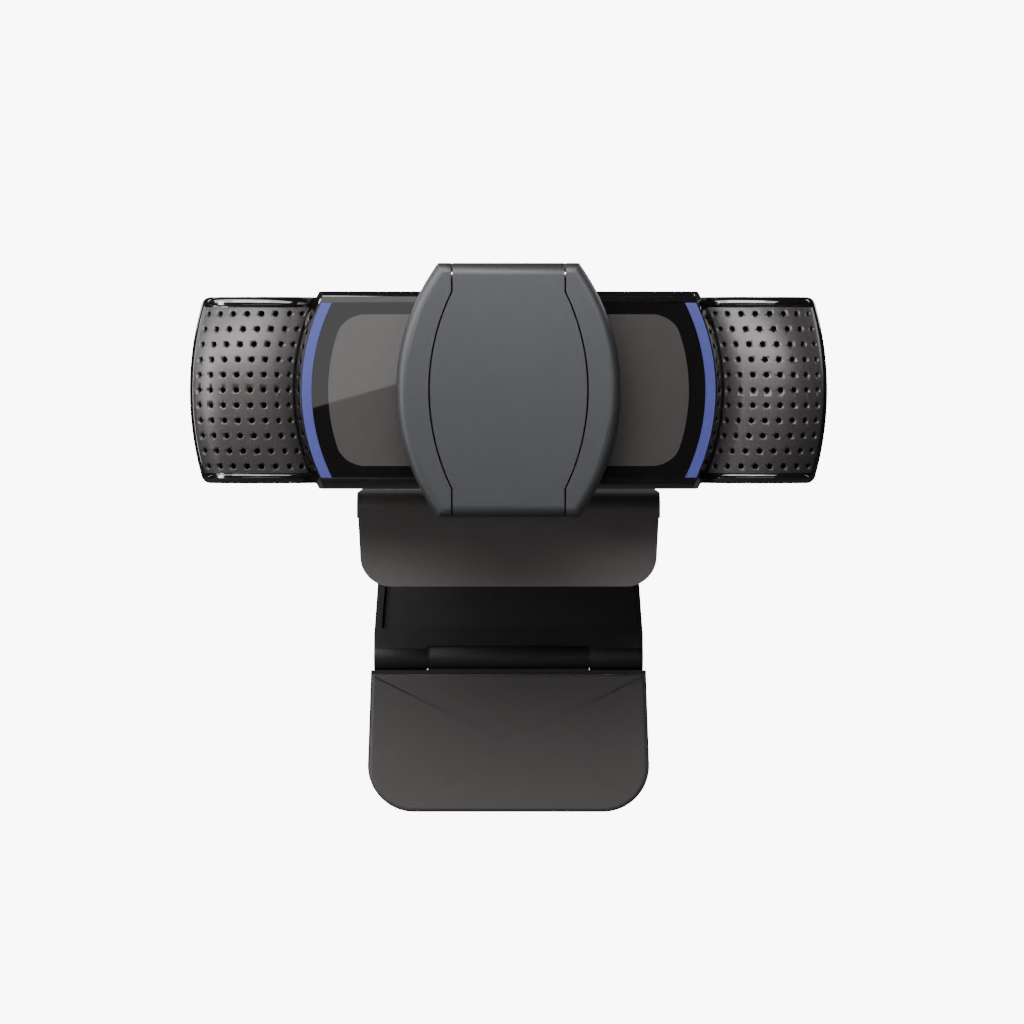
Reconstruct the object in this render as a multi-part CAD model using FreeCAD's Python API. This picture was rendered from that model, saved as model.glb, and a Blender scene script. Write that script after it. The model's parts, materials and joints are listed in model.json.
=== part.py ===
"""Webcam on a folding monitor clip, with a flip-up privacy shutter.

Millimetres, +Z up, the camera looks along -Y. The origin is the middle of the rubber rest pad under
the clip's top plate, the face that sits on the top edge of a monitor. The head is turned about the
lens axis: its front is one surface of revolution, cut flat at the top and the bottom.
"""

import FreeCAD, Part
import math
import os

V = FreeCAD.Vector

# ---- driving dimensions: the camera head ----
HEAD_Z = 20.0            # height of the lens axis above the monitor's top edge
FRONT_Y = -40.0          # front face of the window
REAR_Y = -16.0           # back of the head
POD_HALF = 14.5          # half height of the middle of the head
WING_HALF = 13.7         # half height of the two grille wings
HEAD_R = 47.0            # half width, and radius of the head's ends about the lens axis
WING_CORNER_R = 1.5      # rounding of the wings' outer corners, seen from the front
POD_R = 31.4             # radius where the middle meets the wings
WALL = 1.6
SPLIT_Y = -28.0          # joint between the front frame and the rear shell
BACK_R = 9.0             # radius of the rear edges, centred on the tilt axis

WINDOW_R = 28.8
WINDOW_HALF = 12.8
WINDOW_T = 1.4           # the window's pane with the layer behind it
PANE_T = 1.0
INLAY_R = 26.4
INLAY_HALF = 11.1
GUIDE_R = 30.3           # outer radius of the light guides
FIT = 0.1                # gap round each piece let into the frame

GRILLE_IN_R = 31.6
GRILLE_OUT_R = 46.4
GRILLE_HALF = 12.2
GRILLE_T = 1.1
SOUND_HALF = 11.6        # half height of the opening behind the grille, and its inner and outer radius
SOUND_IN_R = 33.0
SOUND_OUT_R = 45.0
ARCH_R = 10.6            # radius of the grille's arch
ARCH_MID_R = 39.0        # distance of the arch's crown from the lens axis
CROWN_Y = -39.2
ARCH_CENTRE_Y = CROWN_Y + ARCH_R
HOLE_R = 0.42
HOLE_ROWS = 11
HOLE_PITCH = 2.24
HOLE_COLUMNS = 8
HOLE_FIRST_DEG = -39.2   # where the hole columns start, seen from the arch's centre
HOLE_STEP_DEG = 11.0

# ---- inside the head ----
SCREW_PLACES = [(x, z) for x in (-27.0, 27.0) for z in (-9.6, 9.6)]
SCREW_R = 0.8
SCREW_TIP_Y = SPLIT_Y - 5.0
SCREW_HEAD_Y = REAR_Y - 3.6
POST_R = 2.2
POST_Y = FRONT_Y + 2.5
BOARD_Y = -33.2          # front face of the main board
BOARD_T = 1.0
LED_X = 29.5
GLAND_X = -14.0
GLAND_R = 3.2
CORD_R = 1.9
RING_R = 9.9             # the trim ring round the lens
COVER_R = 4.7
BARREL_R = 3.9
COIL_R = 4.8
ACTUATOR_HALF = 6.3
ACTUATOR_BORE_R = 5.2

# ---- the shutter ----
SHUTTER_FRONT_Y = -46.6
SHUTTER_HALF = 18.5
SHUTTER_T = 1.6
SHUTTER_BACK_Y = -29.0
SHUTTER_MID_X = 16.3     # half width at the lens axis
DOOR_MID_X = 11.4
DOOR_END_X = 8.1
SIDE_ARC_R = 31.3        # radius of the shutter's side edges and of the door's seams
SEAM = 0.25
DOOR_PIN_R = 0.8
DOOR_ROLL_R = 1.7        # rounding of the door's top and bottom edges
DOOR_AXIS_Y = SHUTTER_FRONT_Y + DOOR_ROLL_R
DOOR_AXIS_Z = HEAD_Z + SHUTTER_HALF - DOOR_ROLL_R
DOOR_STRAIGHT = 14.3     # height above the lens axis where the seams turn straight
SLEEVE_HALF = POD_HALF + 0.2
SLEEVE_Y = FRONT_Y - 0.2
GRIP_HALF_X = 8.0        # the two rubber strips that hold the sleeve on the head

# ---- the clip ----
PLATE_HALF_X = 22.8
PLATE_TOP_Z = 4.6
PAD_T = 0.8
LIP_FRONT_Y = -21.8
LIP_T = 3.0
LIP_BOTTOM_Z = -9.5
LIP_CORNER_R = 4.6
ARM_AXIS_Y = 28.8
ARM_AXIS_Z = -2.8
ARM_L = 20.8             # from the rear hinge to the foot's hinge
ARM_DROP_DEG = 70.4      # how far the arm hangs below level in the pose shown
ARM_REAR_X = 20.5
ARM_FRONT_X = 21.4
FOOT_TOP_X = 21.9
FOOT_HALF_X = 22.4
FOOT_L = 24.7
FOOT_CORNER_R = 7.4
SHELL_LOW = -3.4         # outer face of the arm and foot, from the line of their hinges
SHELL_HIGH = 2.2         # inner face of the arm's rails and of the foot's pad
KNUCKLE_R = 2.3
KNUCKLE_HALF = 12.5
EAR_IN_X = 12.9
KNUCKLE_ROOM = 2.8       # from a hinge line to the nearest flat edge of the piece that turns on it
BROW_REACH = 1.0         # the inner half of that edge comes nearer and curls round the knuckle
BROW_LOW = -0.8
BROW_FIT = 0.15
WASHER_T = 0.35
CLIP_PIN_R = 1.0
RUNNING = 0.05           # radial clearance of a pin in a turning knuckle
INSERT_R = 4.6
INSERT_BORE_R = 2.55     # minor radius of a 1/4-20 thread
INSERT_FROM_AXIS = 10.2
INSERT_HIGH = 0.9
FOOT_PAD_T = 1.0
REST_HALF_X = 16.0
REST_HALF_Y = 13.0

# ---- the tilt hinge ----
TILT_Y = REAR_Y - BACK_R
TILT_Z = HEAD_Z - POD_HALF + BACK_R
TILT_PIN_R = 1.5
NECK_HALF = 6.6
NECK_R = 4.0
HOUSING_R = 6.2
SLOT_HALF = 7.4
WEB_HALF_T = 2.0
FLANGE_HALF_X = 8.5
FLANGE_BACK_Y = -6.6
FLANGE_T = 2.0
NECK_SCREW_X = 5.2
NECK_SCREW_Y = -9.4
NECK_SCREW_R = 0.9


# ---- solids from boxes, cylinders and outlines ----
def box(x, y, z):
    """A box from three (low, high) pairs."""
    size = [high - low for low, high in (x, y, z)]
    return Part.makeBox(*size, V(x[0], y[0], z[0]))


def rod(axis, centre, radius, low, high):
    """A cylinder along X, Y or Z; centre gives its other two coordinates, in X, Y, Z order."""
    place = {"X": (low, *centre), "Y": (centre[0], low, centre[1]), "Z": (*centre, low)}[axis]
    way = {"X": V(1, 0, 0), "Y": V(0, 1, 0), "Z": V(0, 0, 1)}[axis]
    return Part.makeCylinder(radius, high - low, V(*place), way)


def tube(axis, centre, radii, low, high):
    """A ring of (inner, outer) radii."""
    return rod(axis, centre, radii[1], low, high).cut(rod(axis, centre, radii[0], low, high))


def outline(plane, start, steps):
    """A closed wire. A step is a point for a line, or a pair (through, end) for an arc."""
    def point(p):
        return {"XY": V(p[0], p[1], 0), "XZ": V(p[0], 0, p[1]), "YZ": V(0, p[0], p[1])}[plane]
    edges = []
    here = start
    for step in [*steps, start]:
        if isinstance(step[0], tuple):
            through, end = step
            edges.append(Part.Arc(point(here), point(through), point(end)).toShape())
        else:
            end = step
            if math.dist(here, end) > 1e-6:
                edges.append(Part.LineSegment(point(here), point(end)).toShape())
        here = end
    return Part.Wire(edges)


def prism(plane, low, high, start, *steps):
    """The outline's face, swept from low to high along the plane's normal."""
    normal = {"XY": V(0, 0, 1), "XZ": V(0, 1, 0), "YZ": V(1, 0, 0)}[plane]
    face = Part.Face(outline(plane, start, steps))
    face.translate(normal * low)
    return face.extrude(normal * (high - low))


def turned(start, *steps):
    """An outline of (radius, y) points turned a full circle about the lens axis."""
    face = Part.Face(outline("XY", start, steps))
    face.translate(V(0, 0, HEAD_Z))
    return face.revolve(V(0, 0, HEAD_Z), V(0, 1, 0), 360)


def slab(half):
    """Everything within half of the lens axis in height."""
    return box((-60, 60), (-60, 0), (HEAD_Z - half, HEAD_Z + half))


def side(shape, sign):
    """The part of a shape at positive or negative x."""
    low, high = (0, 60) if sign > 0 else (-60, 0)
    return shape.common(box((low, high), (-60, 60), (-60, 60)))


def mirrored(shape):
    return shape.mirror(V(0, 0, 0), V(1, 0, 0))


def fuse(shapes):
    return shapes[0].multiFuse(shapes[1:]).removeSplitter()


def soften(shape, radius, chosen):
    """Rounds the chosen edges, and leaves the shape as it is where the kernel can't."""
    edges = [e for e in shape.Edges if chosen(e)]
    try:
        rounded = shape.makeFillet(radius, edges)
        if rounded.isValid() and rounded.Volume > 0:
            return rounded
    except Part.OCCError:
        pass
    print("  not rounded: radius", radius, "on", len(edges), "edges")
    return shape


def middle(edge):
    return edge.valueAt((edge.FirstParameter + edge.LastParameter) / 2)


SIDES = (("left", -1), ("right", 1))   # as seen from in front
NODES = {}


def node(name, shape):
    """Checks a sub-part and writes it to parts/NAME.step."""
    solids = shape.Solids
    if not solids or not all(s.isValid() and s.Volume > 0 for s in solids):
        raise ValueError(name + " is not a valid solid")
    kept = solids[0] if len(solids) == 1 else Part.makeCompound(solids)
    NODES[name] = kept
    kept.exportStep(os.path.join("parts", name + ".step"))
    print(name, len(solids), "solid(s)", round(sum(s.Volume for s in solids), 1), "mm3")


# ---- the head: frame, shell and what is let into its front ----
def arch_y(radius, inset=0.0):
    """Depth of the grille's arch at a distance from the lens axis, inset behind its front."""
    return ARCH_CENTRE_Y - math.sqrt((ARCH_R - inset) ** 2 - (radius - ARCH_MID_R) ** 2)


def back_rounding(inset):
    """A long prism with the head's rounded rear edges, pulled in by inset."""
    r = BACK_R - inset
    half = POD_HALF - inset
    low, high = HEAD_Z - half, HEAD_Z + half
    lean = r * math.sqrt(0.5)
    return prism("YZ", -60, 60, (-60, low), (TILT_Y, low),
                 ((TILT_Y + lean, low + r - lean), (REAR_Y - inset, low + r)),
                 (REAR_Y - inset, high - r),
                 ((TILT_Y + lean, high - r + lean), (TILT_Y, high)), (-60, high))


def rounded_wings():
    """A long prism of the wings' front outline, with its four outer corners rounded."""
    r, half = WING_CORNER_R, WING_HALF
    inner_z = half - r
    inner_x = math.sqrt((HEAD_R - r) ** 2 - inner_z ** 2)
    reach = HEAD_R / (HEAD_R - r)
    end_x, end_z = inner_x * reach, inner_z * reach
    turn = (math.pi / 2 + math.atan2(inner_z, inner_x)) / 2
    mid_x, mid_z = inner_x + r * math.cos(turn), inner_z + r * math.sin(turn)
    low, high = HEAD_Z - half, HEAD_Z + half
    return prism("XZ", -60, 0, (-inner_x, high), (inner_x, high), ((mid_x, HEAD_Z + mid_z), (end_x, HEAD_Z + end_z)),
                 ((HEAD_R, HEAD_Z), (end_x, HEAD_Z - end_z)), ((mid_x, HEAD_Z - mid_z), (inner_x, low)),
                 (-inner_x, low), ((-mid_x, HEAD_Z - mid_z), (-end_x, HEAD_Z - end_z)),
                 ((-HEAD_R, HEAD_Z), (-end_x, HEAD_Z + end_z)), ((-mid_x, HEAD_Z + mid_z), (-inner_x, high)))


def head_form():
    """The head's outer shape as one solid."""
    end_r = 11.0
    mid = HEAD_R - end_r
    lean = end_r * math.sqrt(0.5)
    body = turned((0, FRONT_Y), (GUIDE_R + 0.2, FRONT_Y), (GRILLE_IN_R, arch_y(GRILLE_IN_R)),
                  ((ARCH_MID_R, CROWN_Y), (GRILLE_OUT_R, arch_y(GRILLE_OUT_R))),
                  ((HEAD_R - 0.18, -35.75), (HEAD_R, -35.1)), (HEAD_R, REAR_Y - end_r),
                  ((mid + lean, REAR_Y - end_r + lean), (mid, REAR_Y)), (0, REAR_Y))
    pod = body.common(rod("Y", (0, HEAD_Z), POD_R, -60, 0)).common(slab(POD_HALF))
    pod = soften(pod, 1.2, lambda e: abs(middle(e).z - HEAD_Z) > POD_HALF - 0.01
                 and middle(e).y < FRONT_Y + 0.1)
    wings = body.common(rounded_wings())
    return pod.fuse(wings).common(back_rounding(0.0))


def head_cavity():
    """The hollow inside the head, behind a thicker wall where the window sits."""
    end_r = 11.0 - WALL
    mid = HEAD_R - WALL - end_r
    lean = end_r * math.sqrt(0.5)
    ledge_y = FRONT_Y + 2 * WINDOW_T
    step_y = arch_y(32.1, WALL)
    hollow = turned((0, ledge_y), (GUIDE_R - 2.1, ledge_y), (GUIDE_R - 0.1, step_y), (32.1, step_y),
                    ((ARCH_MID_R, CROWN_Y + WALL), (HEAD_R - WALL, arch_y(HEAD_R - WALL, WALL))),
                    (HEAD_R - WALL, REAR_Y - WALL - end_r),
                    ((mid + lean, REAR_Y - WALL - end_r + lean), (mid, REAR_Y - WALL)), (0, REAR_Y - WALL))
    pod = hollow.common(rod("Y", (0, HEAD_Z), POD_R - WALL, -60, 0)).common(slab(POD_HALF - WALL))
    return pod.fuse(hollow.common(slab(WING_HALF - WALL))).common(back_rounding(WALL))


def window_outline(radius, half, low_y, high_y):
    """A flat plate with arced ends, concentric with the lens."""
    return rod("Y", (0, HEAD_Z), radius, low_y, high_y).common(slab(half))


def make_front_frame(shell):
    front = shell.common(box((-60, 60), (-60, SPLIT_Y), (-20, 60)))
    pocket = window_outline(GUIDE_R + FIT, WINDOW_HALF + FIT, FRONT_Y - 1, FRONT_Y + WINDOW_T)
    through = window_outline(WINDOW_R - 1.2, WINDOW_HALF - 1.2, FRONT_Y, FRONT_Y + 2 * WINDOW_T + 0.5)
    low_r, high_r = GRILLE_IN_R - 0.05, GRILLE_OUT_R + 0.05
    seat = turned((low_r, -60), (high_r, -60), (high_r, arch_y(high_r, GRILLE_T)),
                  ((ARCH_MID_R, CROWN_Y + GRILLE_T), (low_r, arch_y(low_r, GRILLE_T))))
    sound_way = tube("Y", (0, HEAD_Z), (SOUND_IN_R, SOUND_OUT_R), -60, -34.6).common(slab(SOUND_HALF))
    front = front.cut([pocket, through, seat.common(slab(GRILLE_HALF + FIT)), sound_way])
    posts = []
    for x, z in SCREW_PLACES:
        posts.append(rod("Y", (x, HEAD_Z + z), POST_R, POST_Y, SPLIT_Y))
        posts.append(rod("Y", (x, HEAD_Z + z), POST_R + 0.7, POST_Y, BOARD_Y))
    front = fuse([front, *posts])
    pilots = [rod("Y", (x, HEAD_Z + z), SCREW_R, SCREW_TIP_Y, SPLIT_Y) for x, z in SCREW_PLACES]
    light_ways = [rod("Y", (sign * LED_X, HEAD_Z), 0.6, FRONT_Y, BOARD_Y) for _, sign in SIDES]
    return front.cut([*pilots, *light_ways])


def tilt_slot(half, reach):
    """The wedge that the neck needs, from just ahead of straight down to just above straight back."""
    edges = [(TILT_Y + reach * math.sin(math.radians(a)), TILT_Z - reach * math.cos(math.radians(a)))
             for a in (-5, 50, 105)]
    return prism("YZ", -half, half, (TILT_Y, TILT_Z), *edges)


def make_rear_shell(shell):
    rear = shell.common(box((-60, 60), (SPLIT_Y, 0), (-20, 60)))
    housing_half = SLOT_HALF + 1.8
    sides = (-housing_half, housing_half)
    housing = fuse([rod("X", (TILT_Y, TILT_Z), HOUSING_R, *sides),
                    box(sides, (SPLIT_Y, REAR_Y), (HEAD_Z - POD_HALF, TILT_Z)),
                    box(sides, (TILT_Y, REAR_Y), (TILT_Z, TILT_Z + HOUSING_R))]).common(back_rounding(0.5))
    bosses = [rod("Y", (x, HEAD_Z + z), 2.6, SPLIT_Y, REAR_Y - WALL) for x, z in SCREW_PLACES]
    rear = fuse([rear, housing, *bosses])
    holes = [rod("X", (TILT_Y, TILT_Z), NECK_R + 0.4, -SLOT_HALF, SLOT_HALF),
             rod("X", (TILT_Y, TILT_Z), TILT_PIN_R, -housing_half - 1, housing_half + 1),
             tilt_slot(SLOT_HALF, 12.5),
             rod("Y", (GLAND_X, HEAD_Z), GLAND_R, REAR_Y - 4, REAR_Y + 2)]
    holes += [rod("Y", (x, HEAD_Z + z), 1.0, SPLIT_Y - 1, REAR_Y + 1) for x, z in SCREW_PLACES]
    holes += [rod("Y", (x, HEAD_Z + z), 1.8, SCREW_HEAD_Y, REAR_Y + 1) for x, z in SCREW_PLACES]
    return rear.cut(holes)


def make_grille(sign):
    """A perforated arch: rows are level, and columns run round the lens axis."""
    back_in, back_out = GRILLE_IN_R + 0.5, GRILLE_OUT_R - 0.5
    band = turned((GRILLE_IN_R, arch_y(GRILLE_IN_R)),
                  ((ARCH_MID_R, CROWN_Y), (GRILLE_OUT_R, arch_y(GRILLE_OUT_R))),
                  (back_out, arch_y(back_out, GRILLE_T)),
                  ((ARCH_MID_R, CROWN_Y + GRILLE_T), (back_in, arch_y(back_in, GRILLE_T))))
    plate = side(band.common(slab(GRILLE_HALF)), 1)
    drills = []
    for column in range(HOLE_COLUMNS):
        angle = math.radians(HOLE_FIRST_DEG + column * HOLE_STEP_DEG)
        radius = ARCH_MID_R + ARCH_R * math.sin(angle)
        depth = ARCH_CENTRE_Y - ARCH_R * math.cos(angle)
        for row in range(HOLE_ROWS):
            z = (row - HOLE_ROWS // 2) * HOLE_PITCH
            x = math.sqrt(radius ** 2 - z ** 2)
            out = V(math.sin(angle) * x / radius, -math.cos(angle), math.sin(angle) * z / radius)
            foot = V(x, depth, HEAD_Z + z) - out * 2
            drills.append(Part.makeCylinder(HOLE_R, 3.5, foot, out))
    plate = plate.cut(drills)
    return plate if sign > 0 else mirrored(plate)


def make_cloth(sign):
    """The acoustic cloth glued behind a grille."""
    front, back = GRILLE_T, GRILLE_T + 0.3
    low_r, high_r = SOUND_IN_R, SOUND_OUT_R
    over = ((ARCH_MID_R, CROWN_Y + front), (high_r, arch_y(high_r, front)))
    under = ((ARCH_MID_R, CROWN_Y + back), (low_r, arch_y(low_r, back)))
    band = turned((low_r, arch_y(low_r, front)), over, (high_r, arch_y(high_r, back)), under)
    cloth = side(band.common(slab(SOUND_HALF)), 1)
    return cloth if sign > 0 else mirrored(cloth)


def make_guide(sign):
    ring = tube("Y", (0, HEAD_Z), (WINDOW_R + 0.05, GUIDE_R), FRONT_Y, FRONT_Y + WINDOW_T)
    return side(ring.common(slab(WINDOW_HALF)), sign)


def make_head():
    shell = head_form().cut(head_cavity())
    node("front_frame", make_front_frame(shell))
    node("rear_shell", make_rear_shell(shell))
    lens_hole = rod("Y", (0, HEAD_Z), RING_R, FRONT_Y - 1, FRONT_Y + 3)
    window = window_outline(WINDOW_R, WINDOW_HALF, FRONT_Y, FRONT_Y + PANE_T)
    node("front_window", window.cut(lens_hole))
    inlay = window_outline(INLAY_R, INLAY_HALF, FRONT_Y + PANE_T, FRONT_Y + WINDOW_T)
    inlay = soften(inlay, 2.6, lambda e: abs(abs(middle(e).z - HEAD_Z) - INLAY_HALF) < 0.01
                   and abs(middle(e).x) > 20)
    node("window_inlay", inlay.cut(lens_hole))
    tape = window_outline(WINDOW_R - FIT, WINDOW_HALF - FIT, FRONT_Y + PANE_T, FRONT_Y + WINDOW_T)
    node("window_tape", tape.cut(inlay))
    for name, sign in SIDES:
        node("light_guide_" + name, make_guide(sign))
        node("grille_" + name, make_grille(sign))
        node("grille_cloth_" + name, make_cloth(sign))


# ---- inside the head: optics, boards, microphones ----
def lens(radius, flat_y, rim_y, apex_y):
    """A lens with one flat face and one spherical face."""
    sag = apex_y - rim_y
    sphere = (radius ** 2 + sag ** 2) / (2 * abs(sag))
    halfway = apex_y - math.copysign(sphere - math.sqrt(sphere ** 2 - radius ** 2 / 4), sag)
    return turned((0, flat_y), (radius, flat_y), (radius, rim_y), ((radius / 2, halfway), (0, apex_y)))


def make_optics():
    ring = turned((COVER_R, -40.2), (8.7, -43.5), ((9.4, -43.6), (RING_R, -43.0)), (RING_R, -38.65),
                  (COVER_R, -38.65))
    node("lens_ring", ring)
    node("lens_cover", rod("Y", (0, HEAD_Z), COVER_R, -40.0, -39.3))
    half = ACTUATOR_HALF
    body = box((-half, half), (-38.5, BOARD_Y), (HEAD_Z - half, HEAD_Z + half))
    body = soften(body, 1.0, lambda e: abs(abs(middle(e).x) - half) < 0.01
                  and abs(abs(middle(e).z - HEAD_Z) - half) < 0.01)
    bores = [rod("Y", (0, HEAD_Z), ACTUATOR_BORE_R, -38.0, BOARD_Y),
             rod("Y", (0, HEAD_Z), BARREL_R + 0.3, -39, -37)]
    node("focus_actuator", body.cut(bores))
    barrel = turned((1.7, -38.75), (BARREL_R, -38.75), (BARREL_R, -35.0), (3.0, -35.0), (3.0, -36.4),
                    (1.9, -36.6), (1.9, -37.0), (2.6, -37.0), (2.6, -38.2))
    node("lens_barrel", barrel)
    node("front_lens", lens(2.6, -37.0, -37.7, -38.5))
    node("rear_lens", lens(3.0, -36.4, -35.6, -35.2))
    node("focus_coil", tube("Y", (0, HEAD_Z), (BARREL_R, COIL_R), -37.4, -35.8))
    half = 3.5
    square = ((-half, half), (HEAD_Z - half, HEAD_Z + half))
    node("infrared_filter", box(square[0], (-34.5, -34.2), square[1]))
    node("image_sensor", box(square[0], (-34.0, BOARD_Y), square[1]))


def make_boards():
    board = box((-31.0, 31.0), (BOARD_Y, BOARD_Y + BOARD_T), (HEAD_Z - 11.0, HEAD_Z + 11.0))
    board = board.cut([rod("Y", (x, HEAD_Z + z), POST_R + 0.1, -40, -20) for x, z in SCREW_PLACES])
    node("main_board", board)
    node("image_processor", box((-20.5, -11.5), (BOARD_Y - 1.2, BOARD_Y), (HEAD_Z - 4.5, HEAD_Z + 4.5)))
    header = box((GLAND_X - 4, GLAND_X + 4), (BOARD_Y + BOARD_T, -28.5), (HEAD_Z + 3, HEAD_Z + 8))
    node("cable_header", header)
    leds = []
    for _, sign in SIDES:
        x = (sign * LED_X - 0.8, sign * LED_X + 0.8)
        leds.append(box(x, (BOARD_Y - 0.7, BOARD_Y), (HEAD_Z - 0.6, HEAD_Z + 0.6)))
    node("status_leds", Part.makeCompound(leds))
    ribbons = []
    for name, sign in SIDES:
        low, high = sorted((sign * 33.0, sign * 44.0))
        node("mic_board_" + name, box((low, high), (BOARD_Y, BOARD_Y + 0.8), (HEAD_Z - 6, HEAD_Z + 6)))
        middle_x = sign * ARCH_MID_R
        node("microphone_" + name, rod("Y", (middle_x, HEAD_Z), 2.0, -35.8, BOARD_Y))
        node("mic_boot_" + name, tube("Y", (middle_x, HEAD_Z), (2.0, 3.2), -37.2, BOARD_Y))
        low, high = sorted((sign * 30.0, sign * 35.0))
        ribbons.append(box((low, high), (BOARD_Y - 0.15, BOARD_Y), (HEAD_Z - 5.0, HEAD_Z - 2.5)))
    node("mic_ribbons", Part.makeCompound(ribbons))


def make_head_fasteners():
    screws = []
    caps = []
    for x, z in SCREW_PLACES:
        place = (x, HEAD_Z + z)
        head = rod("Y", place, 1.7, SCREW_HEAD_Y, SCREW_HEAD_Y + 1.3)
        drive = rod("Y", place, 0.6, SCREW_HEAD_Y + 0.6, SCREW_HEAD_Y + 1.3)
        screws.append(fuse([head.cut(drive), rod("Y", place, SCREW_R, SCREW_TIP_Y, SCREW_HEAD_Y)]))
        caps.append(rod("Y", place, 1.8, SCREW_HEAD_Y + 1.5, REAR_Y + 1).common(back_rounding(0.0)))
    node("housing_screws", Part.makeCompound(screws))
    node("screw_caps", Part.makeCompound(caps))
    gland = fuse([rod("Y", (GLAND_X, HEAD_Z), GLAND_R, REAR_Y - 2.4, REAR_Y),
                  rod("Y", (GLAND_X, HEAD_Z), GLAND_R + 1.1, REAR_Y, REAR_Y + 1.4)])
    gland = soften(gland, 0.5, lambda e: abs(middle(e).y - REAR_Y - 1.4) < 0.01)
    node("cable_gland", gland.cut(rod("Y", (GLAND_X, HEAD_Z), CORD_R, -30, 0)))
    node("tilt_pin", rod("X", (TILT_Y, TILT_Z), TILT_PIN_R, -SLOT_HALF - 1.6, SLOT_HALF + 1.6))


# ---- the shutter: a sleeve over the head, and a door that turns up about its top edge ----
def barrel_sided(middle_x, half, low_y, high_y):
    """A plate whose sides bow out to middle_x at the lens axis."""
    x = middle_x - SIDE_ARC_R + math.sqrt(SIDE_ARC_R ** 2 - half ** 2)
    low, high = HEAD_Z - half, HEAD_Z + half
    return prism("XZ", low_y, high_y, (-x, low), (x, low), ((middle_x, HEAD_Z), (x, high)), (-x, high),
                 ((-middle_x, HEAD_Z), (-x, low)))


def door_sided(grow, half, low_y, high_y):
    """A plate with the door's outline, grown sideways."""
    x, middle_x = DOOR_END_X + grow, DOOR_MID_X + grow
    low, high = HEAD_Z - half, HEAD_Z + half
    turn_low, turn_high = HEAD_Z - DOOR_STRAIGHT, HEAD_Z + DOOR_STRAIGHT
    return prism("XZ", low_y, high_y, (-x, low), (x, low), (x, turn_low),
                 ((middle_x, HEAD_Z), (x, turn_high)), (x, high), (-x, high), (-x, turn_high),
                 ((-middle_x, HEAD_Z), (-x, turn_low)))


def make_shutter():
    front, back, half = SHUTTER_FRONT_Y, SHUTTER_BACK_Y, SHUTTER_HALF
    tail = SLEEVE_HALF + 1.7
    sleeve = prism("YZ", -20, 20, (front, HEAD_Z - half), (front, HEAD_Z + half), (front + 5, HEAD_Z + half),
                   (back, HEAD_Z + tail), (back, HEAD_Z + SLEEVE_HALF), (SLEEVE_Y, HEAD_Z + SLEEVE_HALF),
                   (SLEEVE_Y, HEAD_Z - SLEEVE_HALF), (back, HEAD_Z - SLEEVE_HALF), (back, HEAD_Z - tail),
                   (front + 5, HEAD_Z - half))
    frame = sleeve.common(barrel_sided(SHUTTER_MID_X, half, front, back))
    frame = soften(frame, 1.5, lambda e: middle(e).y < front + 0.01)
    hollow = barrel_sided(SHUTTER_MID_X - SHUTTER_T, SLEEVE_HALF, front + SHUTTER_T, SLEEVE_Y)
    room_y = DOOR_AXIS_Y + DOOR_ROLL_R + 0.6
    cuts = [hollow, door_sided(SEAM, half + 1, front - 1, room_y),
            door_sided(SEAM, SLEEVE_HALF, front - 1, SLEEVE_Y),
            rod("X", (DOOR_AXIS_Y, DOOR_AXIS_Z), DOOR_PIN_R + RUNNING, -9.9, 9.9)]
    node("shutter_frame", frame.cut(cuts))
    panel = door_sided(0, half, front, front + SHUTTER_T)
    rolls = [rod("X", (DOOR_AXIS_Y, z), DOOR_ROLL_R, -DOOR_END_X, DOOR_END_X)
             for z in (DOOR_AXIS_Z, 2 * HEAD_Z - DOOR_AXIS_Z)]
    low = HEAD_Z - half
    flange = box((-DOOR_END_X, DOOR_END_X), (DOOR_AXIS_Y, DOOR_AXIS_Y + 1.6), (low, low + SHUTTER_T))
    corners = box((-20, 20), (front - 1, DOOR_AXIS_Y), (low - 1, low + DOOR_ROLL_R))
    trimmed = panel.cut([corners, corners.translated(V(0, 0, 2 * half + 1 - DOOR_ROLL_R))])
    door = fuse([trimmed, *rolls, flange])
    node("shutter_door", door.cut(rod("X", (DOOR_AXIS_Y, DOOR_AXIS_Z), DOOR_PIN_R, -20, 20)))
    node("shutter_pin", rod("X", (DOOR_AXIS_Y, DOOR_AXIS_Z), DOOR_PIN_R, -9.7, 9.7))
    grip = box((-GRIP_HALF_X, GRIP_HALF_X), (FRONT_Y + 2, SHUTTER_BACK_Y - 1),
               (HEAD_Z + POD_HALF, HEAD_Z + SLEEVE_HALF))
    node("shutter_grips", Part.makeCompound([grip, grip.mirror(V(0, 0, HEAD_Z), V(0, 0, 1))]))


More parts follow.
